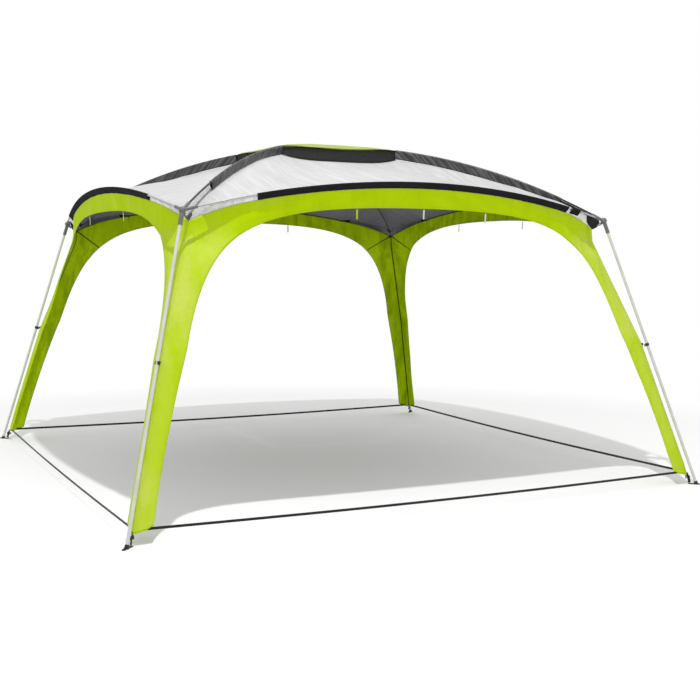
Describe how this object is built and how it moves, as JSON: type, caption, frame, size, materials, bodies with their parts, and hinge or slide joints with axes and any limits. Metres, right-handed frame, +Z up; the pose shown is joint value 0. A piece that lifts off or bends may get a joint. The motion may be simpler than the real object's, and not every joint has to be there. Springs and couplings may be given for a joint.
{
  "type": "tarp shelter",
  "caption": "Square dome shelter: splayed tube legs, arched roof poles crossing over a vented fabric canopy, open arched sides and ground straps.",
  "frame": {"origin": "on the ground, midway between the four feet", "axes": "+Z up, -Y towards the side seen widest from the front, +X to the right of it"},
  "size_m": [3.5538, 3.5538, 2.0909],
  "materials": {
    "hub_plastic": "grey moulded nylon, fine grain",
    "leg_tube": "satin anodised tube",
    "black_plastic": "black moulded plastic",
    "lime_fabric": "coated lime green polyester, slight sheen",
    "roof_fabric": "coated light grey polyester, slight sheen",
    "side_pole": "silver grey fibreglass",
    "roof_pole": "black fibreglass",
    "ferrule_steel": "plain steel",
    "shock_cord": "braided elastic cord",
    "side_sleeve": "matt black polyester",
    "roof_sleeve": "charcoal coated polyester with a sheen",
    "mesh": "black insect mesh",
    "black_webbing": "black polypropylene webbing",
    "white_webbing": "white polyester tape"
  },
  "bodies": {
    "canopy": {"corner_hooks": "ferrule_steel", "corner_webbing": "black_webbing", "diagonal_pole_lower": "roof_pole", "diagonal_pole_upper": "roof_pole", "diagonal_sleeves": "roof_sleeve", "foot_buckles": "black_plastic", "ground_strap_back": "black_webbing", "ground_strap_front": "black_webbing", "ground_strap_left": "black_webbing", "ground_strap_right": "black_webbing", "hub_back_left": "hub_plastic", "hub_back_right": "hub_plastic", "hub_front_left": "hub_plastic", "hub_front_right": "hub_plastic", "leg_drape_back_left": "lime_fabric", "leg_drape_back_right": "lime_fabric", "leg_drape_front_left": "lime_fabric", "leg_drape_front_right": "lime_fabric", "perimeter_pole_back": "side_pole", "perimeter_pole_front": "side_pole", "perimeter_pole_left": "side_pole", "perimeter_pole_right": "side_pole", "perimeter_sleeves": "side_sleeve", "pole_ferrules": "ferrule_steel", "roof_gore_back": "roof_fabric", "roof_gore_front": "roof_fabric", "roof_gore_left": "roof_fabric", "roof_gore_right": "roof_fabric", "shock_cords": "shock_cord", "valance_back": "lime_fabric", "valance_front": "lime_fabric", "valance_left": "lime_fabric", "valance_right": "lime_fabric", "vent_cap": "lime_fabric", "vent_mesh": "mesh"},
    "leg_front_right": {"leg_upper_front_right": "leg_tube", "leg_lower_front_right": "leg_tube", "foot_cap_front_right": "black_plastic"},
    "clip_front_right": {"leg_clip_front_right": "black_plastic"},
    "leg_back_right": {"leg_upper_back_right": "leg_tube", "leg_lower_back_right": "leg_tube", "foot_cap_back_right": "black_plastic"},
    "clip_back_right": {"leg_clip_back_right": "black_plastic"},
    "leg_back_left": {"leg_upper_back_left": "leg_tube", "leg_lower_back_left": "leg_tube", "foot_cap_back_left": "black_plastic"},
    "clip_back_left": {"leg_clip_back_left": "black_plastic"},
    "leg_front_left": {"leg_upper_front_left": "leg_tube", "leg_lower_front_left": "leg_tube", "foot_cap_front_left": "black_plastic"},
    "clip_front_left": {"leg_clip_front_left": "black_plastic"},
    "tie_front_1": {"wall_tie_front_1": "white_webbing"},
    "tie_front_2": {"wall_tie_front_2": "white_webbing"},
    "tie_front_3": {"wall_tie_front_3": "white_webbing"},
    "tie_right_1": {"wall_tie_right_1": "white_webbing"},
    "tie_right_2": {"wall_tie_right_2": "white_webbing"},
    "tie_back_1": {"wall_tie_back_1": "white_webbing"},
    "tie_back_2": {"wall_tie_back_2": "white_webbing"},
    "tie_left_1": {"wall_tie_left_1": "white_webbing"},
    "tie_left_2": {"wall_tie_left_2": "white_webbing"}
  },
  "joints": [
    {"name": "leg_slide_front_right", "type": "slide", "parent": "canopy", "child": "leg_front_right", "axis": [0.2451, -0.2451, -0.938], "range_m": [0, 0.06]},
    {"name": "clip_turn_front_right", "type": "hinge", "parent": "canopy", "child": "clip_front_right", "pos_m": [1.53048, -1.53048, 0.84], "axis": [0.2451, -0.2451, -0.938], "range_deg": [-25, 25]},
    {"name": "leg_slide_back_right", "type": "slide", "parent": "canopy", "child": "leg_back_right", "axis": [0.2451, 0.2451, -0.938], "range_m": [0, 0.06]},
    {"name": "clip_turn_back_right", "type": "hinge", "parent": "canopy", "child": "clip_back_right", "pos_m": [1.53048, 1.53048, 0.84], "axis": [0.2451, 0.2451, -0.938], "range_deg": [-25, 25]},
    {"name": "leg_slide_back_left", "type": "slide", "parent": "canopy", "child": "leg_back_left", "axis": [-0.2451, 0.2451, -0.938], "range_m": [0, 0.06]},
    {"name": "clip_turn_back_left", "type": "hinge", "parent": "canopy", "child": "clip_back_left", "pos_m": [-1.53048, 1.53048, 0.84], "axis": [-0.2451, 0.2451, -0.938], "range_deg": [-25, 25]},
    {"name": "leg_slide_front_left", "type": "slide", "parent": "canopy", "child": "leg_front_left", "axis": [-0.2451, -0.2451, -0.938], "range_m": [0, 0.06]},
    {"name": "clip_turn_front_left", "type": "hinge", "parent": "canopy", "child": "clip_front_left", "pos_m": [-1.53048, -1.53048, 0.84], "axis": [-0.2451, -0.2451, -0.938], "range_deg": [-25, 25]},
    {"name": "tie_swing_front_1", "type": "hinge", "parent": "canopy", "child": "tie_front_1", "pos_m": [-0.38, -1.39342, 1.61324], "axis": [1, 0, 0], "range_deg": [-80, 80]},
    {"name": "tie_swing_front_2", "type": "hinge", "parent": "canopy", "child": "tie_front_2", "pos_m": [0.44, -1.39152, 1.60985], "axis": [1, 0, 0], "range_deg": [-80, 80]},
    {"name": "tie_swing_front_3", "type": "hinge", "parent": "canopy", "child": "tie_front_3", "pos_m": [0.03, -1.39897, 1.62097], "axis": [1, 0, 0], "range_deg": [-80, 80]},
    {"name": "tie_swing_right_1", "type": "hinge", "parent": "canopy", "child": "tie_right_1", "pos_m": [1.39251, -0.41, 1.61165], "axis": [0, 1, 0], "range_deg": [-80, 80]},
    {"name": "tie_swing_right_2", "type": "hinge", "parent": "canopy", "child": "tie_right_2", "pos_m": [1.39251, 0.41, 1.61165], "axis": [0, 1, 0], "range_deg": [-80, 80]},
    {"name": "tie_swing_back_1", "type": "hinge", "parent": "canopy", "child": "tie_back_1", "pos_m": [0.41, 1.39251, 1.61165], "axis": [-1, 0, 0], "range_deg": [-80, 80]},
    {"name": "tie_swing_back_2", "type": "hinge", "parent": "canopy", "child": "tie_back_2", "pos_m": [-0.41, 1.39251, 1.61165], "axis": [-1, 0, 0], "range_deg": [-80, 80]},
    {"name": "tie_swing_left_1", "type": "hinge", "parent": "canopy", "child": "tie_left_1", "pos_m": [-1.39251, 0.41, 1.61165], "axis": [0, -1, 0], "range_deg": [-80, 80]},
    {"name": "tie_swing_left_2", "type": "hinge", "parent": "canopy", "child": "tie_left_2", "pos_m": [-1.39251, -0.41, 1.61165], "axis": [0, -1, 0], "range_deg": [-80, 80]}
  ]
}
